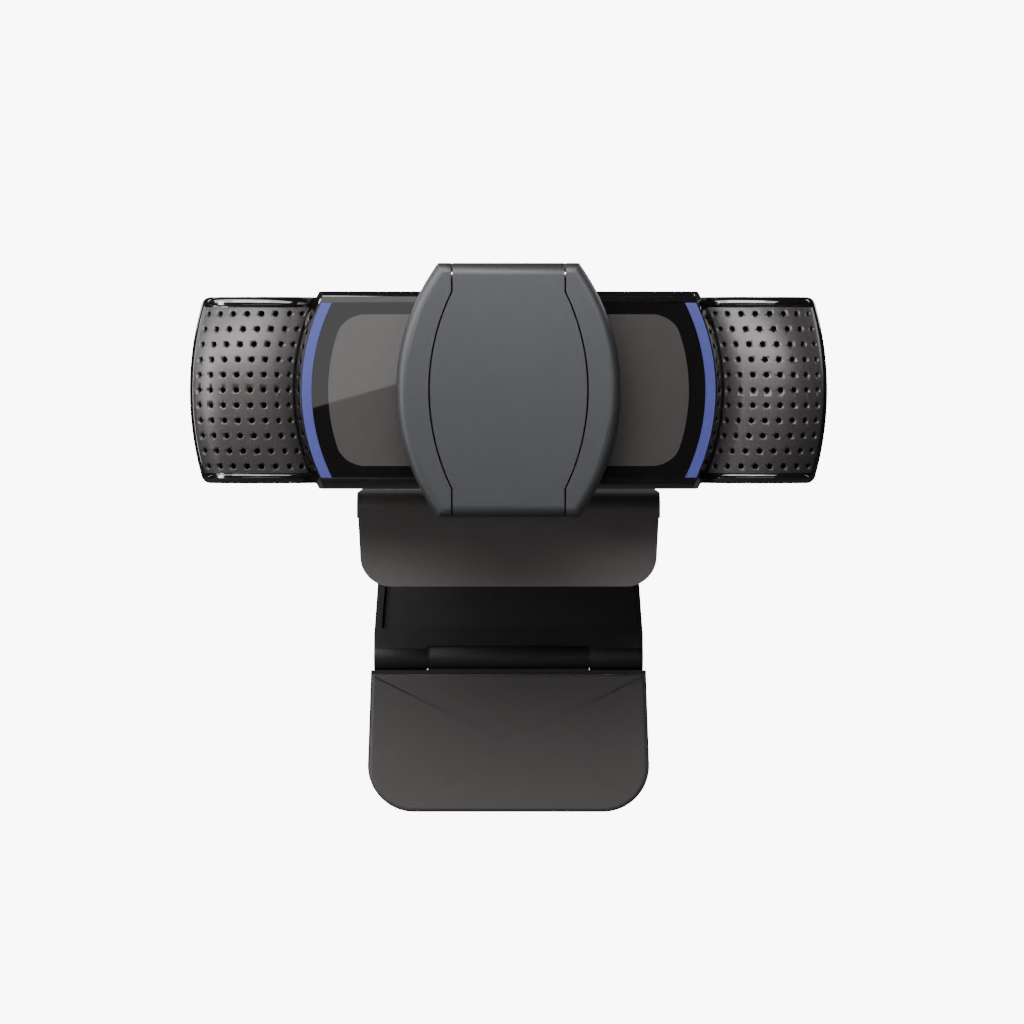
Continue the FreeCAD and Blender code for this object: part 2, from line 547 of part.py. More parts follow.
# ---- the clip: top plate with its lip, tilt neck, arm and foot ----
def make_neck():
    barrel = rod("X", (TILT_Y, TILT_Z), NECK_R, -NECK_HALF, NECK_HALF)
    lean = WEB_HALF_T * math.sqrt(0.5)
    low_y = TILT_Y + TILT_Z - PLATE_TOP_Z - 2 * lean
    web = prism("YZ", -NECK_HALF, NECK_HALF, (TILT_Y - lean, TILT_Z - lean), (low_y, PLATE_TOP_Z),
                (low_y + 4 * lean, PLATE_TOP_Z), (TILT_Y + lean, TILT_Z + lean))
    x = FLANGE_HALF_X
    flange = box((-x, x), (low_y, FLANGE_BACK_Y), (PLATE_TOP_Z, PLATE_TOP_Z + FLANGE_T))
    flange = soften(flange, 2.0, lambda e: middle(e).y > FLANGE_BACK_Y - 0.01 and abs(middle(e).x) > x - 0.01)
    neck = fuse([barrel, web, flange])
    holes = [rod("X", (TILT_Y, TILT_Z), TILT_PIN_R + RUNNING, -NECK_HALF - 1, NECK_HALF + 1)]
    screws = []
    for _, sign in SIDES:
        place = (sign * NECK_SCREW_X, NECK_SCREW_Y)
        top = PLATE_TOP_Z + FLANGE_T
        holes.append(rod("Z", place, 1.0, PLATE_TOP_Z - 1, top + 1))
        head = rod("Z", place, 1.8, top, top + 1.2).cut(rod("Z", place, 0.6, top + 0.5, top + 1.2))
        screws.append(fuse([head, rod("Z", place, NECK_SCREW_R, PAD_T + 0.6, top)]))
    node("tilt_neck", neck.cut(holes))
    node("neck_screws", Part.makeCompound(screws))
    washer = tube("X", (TILT_Y, TILT_Z), (TILT_PIN_R + RUNNING, 3.4), NECK_HALF, SLOT_HALF)
    node("tilt_washers", Part.makeCompound([washer, mirrored(washer)]))


def make_plate():
    back_y = ARM_AXIS_Y + KNUCKLE_R
    x = PLATE_HALF_X
    plate = box((-x, x), (LIP_FRONT_Y, back_y), (PAD_T, PLATE_TOP_Z))
    lip_x, r = x - 0.5, LIP_CORNER_R
    lean = r * (1 - math.sqrt(0.5))
    lip = prism("XZ", LIP_FRONT_Y, LIP_FRONT_Y + LIP_T, (-x, PLATE_TOP_Z), (-lip_x, LIP_BOTTOM_Z + r),
                ((-lip_x + lean, LIP_BOTTOM_Z + lean), (-lip_x + r, LIP_BOTTOM_Z)), (lip_x - r, LIP_BOTTOM_Z),
                ((lip_x - lean, LIP_BOTTOM_Z + lean), (lip_x, LIP_BOTTOM_Z + r)), (x, PLATE_TOP_Z))
    solid = fuse([plate, lip])
    solid = soften(solid, 2.4, lambda e: abs(middle(e).z - PLATE_TOP_Z) < 0.01
                   and min(middle(e).y - LIP_FRONT_Y, back_y - middle(e).y) < 0.01)
    cheeks = []
    for _, sign in SIDES:
        low, high = sorted((sign * EAR_IN_X, sign * ARM_REAR_X))
        knuckle = rod("X", (ARM_AXIS_Y, ARM_AXIS_Z), KNUCKLE_R, low, high)
        web = box((low, high), (ARM_AXIS_Y - KNUCKLE_R, back_y), (ARM_AXIS_Z, PAD_T + 0.5))
        cheeks += [knuckle, web]
    solid = fuse([solid, *cheeks])
    reach = ARM_REAR_X - 1.0
    holes = [rod("X", (ARM_AXIS_Y, ARM_AXIS_Z), CLIP_PIN_R, -reach, reach)]
    for _, sign in SIDES:
        holes.append(rod("Z", (sign * NECK_SCREW_X, NECK_SCREW_Y), NECK_SCREW_R, PAD_T + 0.6, 10))
    node("clip_plate", solid.cut(holes))
    node("arm_pin", rod("X", (ARM_AXIS_Y, ARM_AXIS_Z), CLIP_PIN_R, -reach, reach))
    pad = box((-REST_HALF_X, REST_HALF_X), (-REST_HALF_Y, REST_HALF_Y), (0, PAD_T))
    node("rest_pad", soften(pad, 2.0, lambda e: abs(middle(e).z - PAD_T / 2) < 0.01))
    lip_back = LIP_FRONT_Y + LIP_T
    pad = box((-REST_HALF_X, REST_HALF_X), (lip_back, lip_back + PAD_T), (LIP_BOTTOM_Z + 1.2, -1.0))
    node("lip_pad", soften(pad, 1.5, lambda e: abs(middle(e).y - lip_back - PAD_T / 2) < 0.01))


def hung(shape, y, z, degrees):
    """A piece drawn along -Y from a hinge at the origin, set on its own hinge and let down."""
    placed = shape.copy()
    placed.rotate(V(0, 0, 0), V(1, 0, 0), degrees)
    placed.translate(V(0, y, z))
    return placed


def washer_pair():
    """The two friction washers at the ends of a knuckle on the X axis."""
    washer = tube("X", (0, 0), (CLIP_PIN_R + RUNNING, KNUCKLE_R), KNUCKLE_HALF, KNUCKLE_HALF + WASHER_T)
    return Part.makeCompound([washer, mirrored(washer)])


def make_arm():
    near, far = -KNUCKLE_ROOM, KNUCKLE_ROOM - ARM_L
    block = prism("XY", SHELL_LOW, SHELL_HIGH, (-ARM_REAR_X, near), (-ARM_FRONT_X, far),
                  (ARM_FRONT_X, far), (ARM_REAR_X, near))
    block = soften(block, 1.2, lambda e: middle(e).z < SHELL_LOW + 0.01 and abs(middle(e).x) > 10)
    floor = SHELL_LOW + 1.8
    rail = 1.2
    tray = prism("XY", floor, SHELL_HIGH + 1, (rail - ARM_REAR_X, near - rail),
                 (rail - ARM_FRONT_X, far + rail), (ARM_FRONT_X - rail, far + rail),
                 (ARM_REAR_X - rail, near - rail))
    boss = rod("Z", (0, -INSERT_FROM_AXIS), INSERT_R + 1.2, floor, INSERT_HIGH)
    ribs = [box((low, low + 1.2), (far + rail, near - rail), (floor, INSERT_HIGH)) for low in (-13.2, 12.0)]
    knuckle = rod("X", (0, 0), KNUCKLE_R, -KNUCKLE_HALF, KNUCKLE_HALF)
    neck = box((-KNUCKLE_HALF, KNUCKLE_HALF), (near - 0.6, 0), (-KNUCKLE_R, SHELL_HIGH))
    ears = []
    for _, sign in SIDES:
        low, high = sorted((sign * EAR_IN_X, sign * ARM_FRONT_X))
        ears.append(rod("X", (-ARM_L, 0), KNUCKLE_R, low, high))
        ears.append(box((low, high), (-ARM_L, far + 0.6), (-KNUCKLE_R, SHELL_HIGH)))
    brow = box((-EAR_IN_X, EAR_IN_X), (-ARM_L + BROW_REACH, far + 0.6), (BROW_LOW, SHELL_HIGH))
    brow = brow.cut(rod("X", (-ARM_L, 0), KNUCKLE_R + BROW_FIT, -EAR_IN_X, EAR_IN_X))
    shell = fuse([block.cut(tray), boss, *ribs, knuckle, neck, brow, *ears])
    reach = ARM_FRONT_X - 1.0
    shell = shell.cut([rod("X", (0, 0), CLIP_PIN_R + RUNNING, -30, 30),
                       rod("X", (-ARM_L, 0), CLIP_PIN_R, -reach, reach),
                       rod("Z", (0, -INSERT_FROM_AXIS), INSERT_R, SHELL_LOW - 1, INSERT_HIGH + 1)])
    cover = tray.common(box((-60, 60), (-60, 60), (INSERT_HIGH, INSERT_HIGH + 0.7)))
    insert = tube("Z", (0, -INSERT_FROM_AXIS), (INSERT_BORE_R, INSERT_R), SHELL_LOW, INSERT_HIGH)
    pieces = {"arm_shell": shell, "arm_cover": cover, "tripod_insert": insert, "arm_washers": washer_pair(),
              "foot_pin": rod("X", (-ARM_L, 0), CLIP_PIN_R, -reach, reach)}
    for name, piece in pieces.items():
        node(name, hung(piece, ARM_AXIS_Y, ARM_AXIS_Z, ARM_DROP_DEG))


def foot_outline(inset, low, high):
    near, tip = -KNUCKLE_ROOM, inset - FOOT_L
    top_x, x, r = FOOT_TOP_X - inset, FOOT_HALF_X - inset, FOOT_CORNER_R - inset
    lean = r * (1 - math.sqrt(0.5))
    return prism("XY", low, high, (-top_x, near), (-x, tip + r), ((-x + lean, tip + lean), (-x + r, tip)),
                 (x - r, tip), ((x - lean, tip + lean), (x, tip + r)), (top_x, near))


def make_foot():
    pad_low = SHELL_HIGH - FOOT_PAD_T
    plate = foot_outline(0, SHELL_LOW, pad_low)
    plate = soften(plate, 1.2, lambda e: middle(e).z < SHELL_LOW + 0.01
                   and middle(e).y < -KNUCKLE_ROOM - 0.01)
    knuckle = rod("X", (0, 0), KNUCKLE_R, -KNUCKLE_HALF, KNUCKLE_HALF)
    neck = box((-KNUCKLE_HALF, KNUCKLE_HALF), (-KNUCKLE_ROOM - 0.6, 0), (-KNUCKLE_R, pad_low))
    brows = []
    for _, sign in SIDES:
        x = sorted((sign * KNUCKLE_HALF, sign * FOOT_TOP_X))
        brow = box(x, (-KNUCKLE_ROOM - 0.6, -BROW_REACH), (BROW_LOW, pad_low))
        clear_of = sorted((sign * KNUCKLE_HALF, sign * 30))
        brows.append(brow.cut(rod("X", (0, 0), KNUCKLE_R + BROW_FIT, *clear_of)))
    shell = fuse([plate, knuckle, neck, *brows]).cut(rod("X", (0, 0), CLIP_PIN_R + RUNNING, -30, 30))
    drop = math.radians(ARM_DROP_DEG)
    hinge = (ARM_AXIS_Y - ARM_L * math.cos(drop), ARM_AXIS_Z - ARM_L * math.sin(drop))
    print("foot hinge at y, z", *[round(v, 3) for v in hinge])
    node("foot_shell", hung(shell, *hinge, 90))
    node("foot_pad", hung(foot_outline(0.25, pad_low, SHELL_HIGH), *hinge, 90))
    node("foot_washers", hung(washer_pair(), *hinge, 90))


os.makedirs("parts", exist_ok=True)
make_head()
make_optics()
make_boards()
make_head_fasteners()
make_shutter()
make_neck()
make_plate()
make_arm()
make_foot()
print(len(NODES), "sub-parts")
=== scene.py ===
# %% [markdown]
# # A clip-on webcam with a flip-up shutter
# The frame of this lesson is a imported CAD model: a wide camera head, a shutter sleeve with its door, and
# a clip of three hinged leaves. Blender gives it the looks. Every size is in metres, +Z is up and the
# lens looks along -Y.

# %% Load the frame
import json
import math

import bmesh
import bpy
import numpy as np
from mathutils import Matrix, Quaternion, Vector


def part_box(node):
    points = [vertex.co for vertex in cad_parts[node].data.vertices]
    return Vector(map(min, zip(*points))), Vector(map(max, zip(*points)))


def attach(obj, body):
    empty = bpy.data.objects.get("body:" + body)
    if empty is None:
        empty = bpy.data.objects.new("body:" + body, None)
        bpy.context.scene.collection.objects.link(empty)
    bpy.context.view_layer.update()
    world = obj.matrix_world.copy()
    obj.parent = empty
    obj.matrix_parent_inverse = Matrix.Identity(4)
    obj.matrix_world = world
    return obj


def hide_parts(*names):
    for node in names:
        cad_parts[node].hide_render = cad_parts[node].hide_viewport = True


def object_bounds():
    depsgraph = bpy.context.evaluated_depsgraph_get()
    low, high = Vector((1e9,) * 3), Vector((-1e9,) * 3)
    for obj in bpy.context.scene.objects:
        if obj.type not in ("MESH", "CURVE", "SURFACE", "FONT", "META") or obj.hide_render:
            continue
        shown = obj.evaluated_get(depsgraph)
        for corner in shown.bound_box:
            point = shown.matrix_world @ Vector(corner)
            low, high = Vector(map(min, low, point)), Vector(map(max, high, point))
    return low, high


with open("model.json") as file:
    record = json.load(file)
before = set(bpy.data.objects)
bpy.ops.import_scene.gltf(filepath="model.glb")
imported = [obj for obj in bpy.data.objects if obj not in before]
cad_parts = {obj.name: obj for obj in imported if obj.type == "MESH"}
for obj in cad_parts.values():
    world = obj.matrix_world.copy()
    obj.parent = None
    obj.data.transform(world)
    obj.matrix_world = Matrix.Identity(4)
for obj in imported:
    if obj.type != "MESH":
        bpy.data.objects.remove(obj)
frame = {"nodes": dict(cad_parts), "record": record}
NODES = frame["nodes"]
MM = 0.001
CAD_LOW, CAD_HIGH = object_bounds()

# %% [markdown]
# The CAD part has the true sizes, so places are read from it. The window's box gives the lens axis: the
# window is centred on it.

# %% Places read from the frame
window_low, window_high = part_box("front_window")
AXIS_Z = (window_low.z + window_high.z) / 2
WINDOW_Y = window_low.y
print("lens axis at z =", round(AXIS_Z / MM, 2), "mm, window face at y =", round(WINDOW_Y / MM, 2), "mm")

# %% [markdown]
# A product shot is taken with a long lens from far off, level with the product. 0.7 m and a 168 mm lens
# keep the sides almost parallel. The view is shifted, not tilted, so upright edges stay upright.

# %% Camera
CAMERA_DISTANCE = 0.7
camera_data = bpy.data.cameras.new("camera")
camera_data.lens = 168.1
camera_data.sensor_width = 36.0
camera_data.shift_x = 0.0034
camera_data.shift_y = -0.119
camera = bpy.data.objects.new("camera", camera_data)
camera.location = (0, WINDOW_Y - CAMERA_DISTANCE, AXIS_Z)
camera.rotation_euler = (math.pi / 2, 0, 0)
bpy.context.scene.collection.objects.link(camera)
bpy.context.scene.camera = camera
print("camera", round(CAMERA_DISTANCE * 1000), "mm in front of the window")

# %% [markdown]
# Colours are picked as sRGB hex, as on a colour card, but a shader works in linear light. One function
# turns one into the other.

# %% Colour
def linear(hex_colour):
    """sRGB hex to linear RGBA: c / 12.92 below 0.04045, else ((c + 0.055) / 1.055) ** 2.4."""
    values = np.array([int(hex_colour[i:i + 2], 16) for i in (1, 3, 5)]) / 255
    curved = np.where(values < 0.04045, values / 12.92, ((values + 0.055) / 1.055) ** 2.4)
    return (*[float(v) for v in curved], 1.0)


print("mid grey in linear light:", round(linear("#808080")[0], 3))

# %% [markdown]
# Every node of a material is added by one function, which also sets its values and joins its inputs.

# %% One way to add a node
def add(tree, kind, settings=None, **inputs):
    """Adds a node. settings are its properties. An input goes by its name, with _ for a space, or by its
    number, as in _0. It takes a value, or another node's output to link."""
    node = tree.nodes.new("ShaderNode" + kind)
    for name, value in (settings or {}).items():
        setattr(node, name, value)
    for name, value in inputs.items():
        socket = node.inputs[int(name[1:])] if name[0] == "_" else node.inputs[name.replace("_", " ")]
        if isinstance(value, bpy.types.NodeSocket):
            tree.links.new(value, socket)
        else:
            socket.default_value = value
    return node


def new_material(name):
    """An empty material, its tree, and the object coordinates that its patterns read."""
    material = bpy.data.materials.new(name)
    material.use_nodes = True
    tree = material.node_tree
    tree.nodes.clear()
    return material, tree, add(tree, "TexCoord").outputs["Object"]


def close(tree, surface):
    """Joins a shader to the material's output."""
    add(tree, "OutputMaterial", Surface=surface.outputs[0])


print("node helpers ready")

# %% [markdown]
# The studio starts with its walls. Black gloss plastic shows whatever stands round it, so a white room
# would wash it out. A world can be one colour for every ray, or it can ask what kind of ray looks at it.
# Here the camera sees a burnt-out white sheet, while the object stands in a dim grey room and stays
# black.

# %% World
PAPER_GLOW = 9.0         # how far past white the background is lit, so that it burns out to plain white
world = bpy.data.worlds.new("studio")
world.use_nodes = True
bpy.context.scene.world = world
world.node_tree.nodes.clear()
seen = add(world.node_tree, "LightPath").outputs["Is Camera Ray"]
room = add(world.node_tree, "Background", Color=linear("#8f9296"), Strength=0.10)
backdrop = add(world.node_tree, "Background", Color=linear("#ffffff"), Strength=PAPER_GLOW)
mixed = add(world.node_tree, "MixShader", _0=seen, _1=room.outputs[0], _2=backdrop.outputs[0])
add(world.node_tree, "OutputWorld", Surface=mixed.outputs[0])
print("world: white to the camera, soft grey to the object")

# %% [markdown]
# Soft boxes do the rest of the lighting. Each is an area light, aimed at a point on the object. A big one
# high in front lets the faces fall from pale to dark, a low one keeps the undersides from closing up, and
# a short strip close above the front draws the bright streaks along the rims. Three more at the side and
# behind pick out the edges. The last is a small card beside the camera, for the window to mirror. A
# picture of a room could light the object too, but nothing in it could be moved to where a reflection is
# wanted.

# %% Soft boxes
def soft_box(name, place, target, size, power, turn=0.0):
    """A rectangular area light at a place, aimed at a target and turned about its line of sight."""
    data = bpy.data.lights.new(name, "AREA")
    data.shape = "RECTANGLE"
    data.size, data.size_y = size
    data.energy = power
    light = bpy.data.objects.new(name, data)
    aim = (Vector(target) - Vector(place)).to_track_quat("-Z", "Y")
    light.rotation_mode = "QUATERNION"
    light.rotation_quaternion = aim @ Quaternion((0, 0, 1), math.radians(turn))
    light.location = place
    light.visible_camera = False
    bpy.context.scene.collection.objects.link(light)


MIDDLE = (0, -0.02, AXIS_Z)
soft_box("key_high_front", (-0.20, -0.72, 0.46), MIDDLE, (0.8, 0.30), 6.3)
soft_box("near_strip", (-0.03, -0.115, 0.082), (0, -0.040, 0.030), (0.30, 0.055), 0.40)
soft_box("low_front", (0, -0.60, -0.14), (0, 0.01, -0.02), (0.6, 0.15), 0.40)
soft_box("strip_left", (-0.50, -0.28, 0.05), MIDDLE, (0.10, 0.4), 2.4)
soft_box("back_left", (-0.65, 0.45, 0.35), MIDDLE, (0.4, 0.4), 2.4)
soft_box("back_right", (0.65, 0.45, 0.35), MIDDLE, (0.4, 0.4), 2.4)
soft_box("window_card", (-0.064, -0.745, 0.040), (-0.032, WINDOW_Y, AXIS_Z), (0.136, 0.052), 0.04, turn=16)

# %% [markdown]
# The floor is one big sheet of white paper below the foot. It could be left out, but then the underside
# of the clip would get no light back from below. The camera sees the paper burnt out, as it sees the
# backdrop, and every other ray sees plain matt paper.

# %% Floor
FLOOR_DROP = 0.09
floor_mesh = bpy.data.meshes.new("floor")
reach, floor_z = 3.0, CAD_LOW.z - FLOOR_DROP
floor_mesh.from_pydata([(-reach, -reach, floor_z), (reach, -reach, floor_z), (reach, reach, floor_z),
                        (-reach, reach, floor_z)], [], [(0, 1, 2, 3)])
floor = bpy.data.objects.new("floor", floor_mesh)
bpy.context.scene.collection.objects.link(floor)
material, tree, _ = new_material("white_paper")
seen = add(tree, "LightPath").outputs["Is Camera Ray"]
paper = add(tree, "BsdfPrincipled", Base_Color=linear("#585858"), Roughness=0.9)
burnt_out = add(tree, "Emission", Color=linear("#ffffff"), Strength=PAPER_GLOW)
close(tree, add(tree, "MixShader", _0=seen, _1=paper.outputs[0], _2=burnt_out.outputs[0]))
floor.data.materials.append(material)
print("floor", round(FLOOR_DROP * 1000), "mm below the foot")

# %% [markdown]
# The finishes. A moulded plastic is one colour with a fine grain that the mould's steel was eroded or
# polished to. Pictures of the grain would do, but a noise on the object's own coordinates needs no
# picture and no unwrapping. So each plastic here is a colour with a slow drift, a roughness that varies a
# little, and a bump at the grain's real size.

# %% Moulded plastics and rubbers
PLASTIC_IOR = 1.5


def moulded(name, colour, roughness, grain_mm, relief_mm, drift=0.12, coat=0.0, spread=0.06, sheen=0.0):
    """A moulded finish: noise of the grain's size lifts the surface by relief_mm and varies its roughness,
    and a slow noise of 9 mm drifts the colour by a share of itself."""
    material, tree, place = new_material(name)
    slow = add(tree, "TexNoise", Vector=place, Scale=1 / (9 * MM), Detail=2.0).outputs["Fac"]
    dark = tuple(c * (1 - drift) for c in linear(colour)[:3]) + (1.0,)
    light = tuple(min(1.0, c * (1 + drift)) for c in linear(colour)[:3]) + (1.0,)
    tint = add(tree, "Mix", {"data_type": "RGBA"}, _0=slow, _6=dark, _7=light).outputs[2]
    grain = add(tree, "TexNoise", Vector=place, Scale=1 / (grain_mm * MM), Detail=3.0).outputs["Fac"]
    rough = add(tree, "MapRange", Value=grain, To_Min=roughness - spread,
                To_Max=roughness + spread).outputs[0]
    bump = add(tree, "Bump", Height=grain, Strength=1.0, Distance=relief_mm * MM).outputs[0]
    shader = add(tree, "BsdfPrincipled", Base_Color=tint, Roughness=rough, Normal=bump, IOR=PLASTIC_IOR,
                 Coat_Weight=coat, Coat_Roughness=0.04, Sheen_Weight=sheen, Sheen_Roughness=0.5)
    close(tree, shader)
    return material


FINISH = {
    # polycarbonate from a mirror-polished mould: clear highlights over a faint orange peel
    "gloss_black": moulded("polished_black_polycarbonate", "#0b0b0c", 0.10, 1.6, 0.004, spread=0.03,
                           coat=1.0),
    # ABS from a lightly eroded mould: broad soft highlights
    "satin_black": moulded("eroded_black_abs", "#161617", 0.42, 0.25, 0.010),
    # ABS with a finer, lighter grain: an even, slightly bluish grey
    "shutter_grey": moulded("eroded_graphite_abs", "#202124", 0.50, 0.22, 0.007, drift=0.05),
    # soft-touch lacquer over ABS: a warm dark grey that pales at grazing angles
    "soft_touch": moulded("soft_touch_lacquer", "#474242", 0.55, 0.30, 0.006, drift=0.08, sheen=0.1),
    # dark ABS with a fine grain, no clear highlight: made nearly black, darker than the lip and foot, as
    # painted shade for the recess under the top plate
    "arm_black": moulded("fine_eroded_abs_with_painted_recess_shade", "#0d0c0c", 0.5, 0.25, 0.008),
    # moulded acetal: dense black, waxy
    "washer_black": moulded("black_acetal_washer", "#0c0c0c", 0.45, 0.20, 0.004),
    # nitrile rubber, ground after moulding: matt, with a dusty edge to the light
    "foot_rubber": moulded("ground_nitrile_rubber", "#3b3737", 0.62, 0.35, 0.012, drift=0.08, sheen=0.15),
    # silicone: matt black that pales at grazing angles
    "pad_rubber": moulded("silicone_rubber", "#1b1a1a", 0.60, 0.30, 0.012, sheen=0.15),
    # rubber filled with carbon black: matt, deep black
    "boot_rubber": moulded("moulded_black_rubber", "#141414", 0.55, 0.30, 0.010, sheen=0.1),
    # dark ABS from a coarsely eroded mould, no highlight to speak of: made nearly black as painted shade
    # for the recess under the top plate
    "cover_black": moulded("matt_abs_with_painted_recess_shade", "#0a0908", 0.60, 0.30, 0.010),
    # ink drawn through a screen: flat colour, silky
    "inlay_grey": moulded("screen_printed_graphite_ink", "#4a4747", 0.35, 0.15, 0.002, drift=0.06),
    # open foam: it takes in all light
    "tape": moulded("acrylic_foam_tape", "#080808", 0.8, 0.20, 0.010),
    # epoxy with ground quartz in it: a fine sparkle on black
    "chip_black": moulded("epoxy_moulding_compound", "#131315", 0.5, 0.12, 0.006),
    # nylon without a dye: ivory
    "connector_white": moulded("natural_nylon_housing", "#cfc9b8", 0.4, 0.20, 0.005),
    # acetal, turned on a lathe: white and waxy
    "washer_nylon": moulded("machined_acetal", "#d5d0c4", 0.35, 0.15, 0.004),
    # silicone over a chip: milky yellow
    "led_white": moulded("silicone_lens_led", "#f0ead2", 0.3, 0.20, 0.003),
    # polyimide film on copper: glossy amber
    "ribbon_amber": moulded("polyimide_film", "#9c5c12", 0.25, 0.40, 0.003),
    # woven polyester: dead black behind the holes, broken up by a noise as fine as its threads
    "cloth": moulded("acoustic_mesh_cloth", "#060606", 0.9, 0.15, 0.030),
}
print("moulded finishes:", len(FINISH))

# %% [markdown]
# Metals have no colour of their own under the surface: the base colour is the colour of the reflection.
# Turned or drawn metal is scratched one way, so its bump is noise that is squeezed across the scratch. An
# anisotropic highlight is another way, but it looks the same from near and far, and real scratches don't.

# %% Metals
def metal(name, colour, roughness, scratch_mm, stretch=(1.0, 1.0, 12.0)):
    """Bare metal: a noise that is stretched along one axis lifts it by 2 microns and varies its
    roughness."""
    material, tree, place = new_material(name)
    squeezed = add(tree, "Mapping", Vector=place, Scale=stretch).outputs[0]
    scratch = add(tree, "TexNoise", Vector=squeezed, Scale=1 / (scratch_mm * MM), Detail=4.0).outputs["Fac"]
    rough = add(tree, "MapRange", Value=scratch, To_Min=roughness * 0.7, To_Max=roughness * 1.4).outputs[0]
    bump = add(tree, "Bump", Height=scratch, Strength=1.0, Distance=0.002 * MM).outputs[0]
    close(tree, add(tree, "BsdfPrincipled", Base_Color=linear(colour), Metallic=1.0, Roughness=rough,
                    Normal=bump))
    return material


FINISH["screw_steel"] = metal("black_oxide_steel", "#4a4846", 0.35, 0.4)
FINISH["pin_steel"] = metal("ground_steel_pin", "#b9b8b5", 0.25, 0.3)
FINISH["actuator_steel"] = metal("nickel_plated_can", "#a9a8a4", 0.30, 0.5)
FINISH["microphone_metal"] = metal("aluminium_capsule", "#c4c5c6", 0.28, 0.3)
FINISH["insert_brass"] = metal("turned_brass", "#c9a15a", 0.28, 0.3)
FINISH["coil_copper"] = metal("enamelled_copper_wire", "#b5622f", 0.30, 0.25, stretch=(1.0, 8.0, 1.0))
print("metals:", [FINISH[k].name for k in ("screw_steel", "insert_brass")])

# %% [markdown]
# The grilles are thin steel with a metallic paint. Mica flakes in the paint catch the light one by one; the
# flakes are real, and their glints are painted into the colour as fine pale cells. Real flakes as geometry
# would be millions of pieces for the same look.

# %% Painted grille
CROWN_R = 26 * MM        # radius of the plate's swell between its long edges


def painted_grille():
    """Graphite paint, with one Voronoi cell of 0.12 mm for each flake, and a clear coat. The pressed plate
    also swells a little between its two long edges: the bump's height is -(z - axis)^2 / (2 R)."""
    material, tree, place = new_material("metallic_graphite_paint")
    flakes = add(tree, "TexVoronoi", Vector=place, Scale=1 / (0.12 * MM)).outputs["Color"]
    flake = add(tree, "SeparateColor", Color=flakes).outputs[0]
    # the pale flake cells are painted glints: a flake's share lightens the paint's colour
    share = add(tree, "MapRange", Value=flake, From_Min=0.7, From_Max=1.0, To_Max=0.25).outputs[0]
    tint = add(tree, "Mix", {"data_type": "RGBA"}, _0=share, _6=linear("#3c3939"),
               _7=linear("#6b6766")).outputs[2]
    rough = add(tree, "MapRange", Value=flake, To_Min=0.36, To_Max=0.46).outputs[0]
    height = add(tree, "SeparateXYZ", Vector=place).outputs["Z"]
    above = add(tree, "Math", {"operation": "SUBTRACT"}, _0=height, _1=AXIS_Z).outputs[0]
    square = add(tree, "Math", {"operation": "MULTIPLY"}, _0=above, _1=above).outputs[0]
    swell = add(tree, "Math", {"operation": "MULTIPLY"}, _0=square, _1=-0.5 / CROWN_R).outputs[0]
    crown = add(tree, "Bump", Height=swell, Strength=1.0, Distance=1.0).outputs[0]
    bump = add(tree, "Bump", Height=flake, Strength=0.2, Distance=0.002 * MM, Normal=crown).outputs[0]
    close(tree, add(tree, "BsdfPrincipled", Base_Color=tint, Metallic=0.35, Roughness=rough, Normal=bump,
                    Coat_Weight=0.15, Coat_Roughness=0.3))
    return material


FINISH["grille_grey"] = painted_grille()

# %% [markdown]
# The window is clear acrylic, printed from behind: a graphite panel with a black border. Under a clear
# coat the print can be drawn by a formula, which stays sharp at any distance, as a stuck-on picture would
# not. The panel's edge is a circle about the lens cut level at the top and bottom, with rounded corners,
# so its distance is taken in radius and height, not in x and z.

# %% Printed window
inlay_low, inlay_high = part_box("window_inlay")
PANEL_R = inlay_high.x
PANEL_HALF = (inlay_high.z - inlay_low.z) / 2
CORNER_R = 2.6 * MM


def printed_window():
    """Distance to the panel's edge: |(max(r - R + c, 0), max(|z| - H + c, 0))| - c, with r the radius about
    the lens. It is negative on the panel, and the ink changes over 0.04 mm."""
    material, tree, place = new_material("back_printed_acrylic")
    centred = add(tree, "Mapping", Vector=place, Location=(0, 0, -AXIS_Z)).outputs[0]
    flat = add(tree, "VectorMath", {"operation": "MULTIPLY"}, _0=centred, _1=(1, 0, 1)).outputs[0]
    radius = add(tree, "VectorMath", {"operation": "LENGTH"}, _0=flat).outputs["Value"]
    height = add(tree, "SeparateXYZ", Vector=add(tree, "VectorMath", {"operation": "ABSOLUTE"},
                                                 _0=flat).outputs[0]).outputs["Z"]
    pair = add(tree, "CombineXYZ", X=radius, Y=height).outputs[0]
    inner = (PANEL_R - CORNER_R, PANEL_HALF - CORNER_R, 0)
    past = add(tree, "VectorMath", {"operation": "SUBTRACT"}, _0=pair, _1=inner).outputs[0]
    outside = add(tree, "VectorMath", {"operation": "MAXIMUM"}, _0=past, _1=(0, 0, 0)).outputs[0]
    reach = add(tree, "VectorMath", {"operation": "LENGTH"}, _0=outside).outputs["Value"]
    distance = add(tree, "Math", {"operation": "SUBTRACT"}, _0=reach, _1=CORNER_R).outputs[0]
    border = add(tree, "MapRange", Value=distance, From_Min=-0.02 * MM, From_Max=0.02 * MM).outputs[0]
    dust = add(tree, "TexNoise", Vector=place, Scale=1 / (2 * MM), Detail=3.0).outputs["Fac"]
    panel = add(tree, "Mix", {"data_type": "RGBA"}, _0=dust, _6=linear("#383535"),
                _7=linear("#3c3939")).outputs[2]
    ink = add(tree, "Mix", {"data_type": "RGBA"}, _0=border, _6=panel, _7=linear("#0c0b0b")).outputs[2]
    rough = add(tree, "MapRange", Value=dust, To_Min=0.35, To_Max=0.5).outputs[0]
    close(tree, add(tree, "BsdfPrincipled", Base_Color=ink, Roughness=rough, Specular_IOR_Level=0.0,
                    Coat_Weight=1.0, Coat_Roughness=0.01, Coat_IOR=1.49))
    return material


FINISH["window_black"] = printed_window()
print("printed panel:", round(2 * PANEL_R / MM, 1), "mm wide")

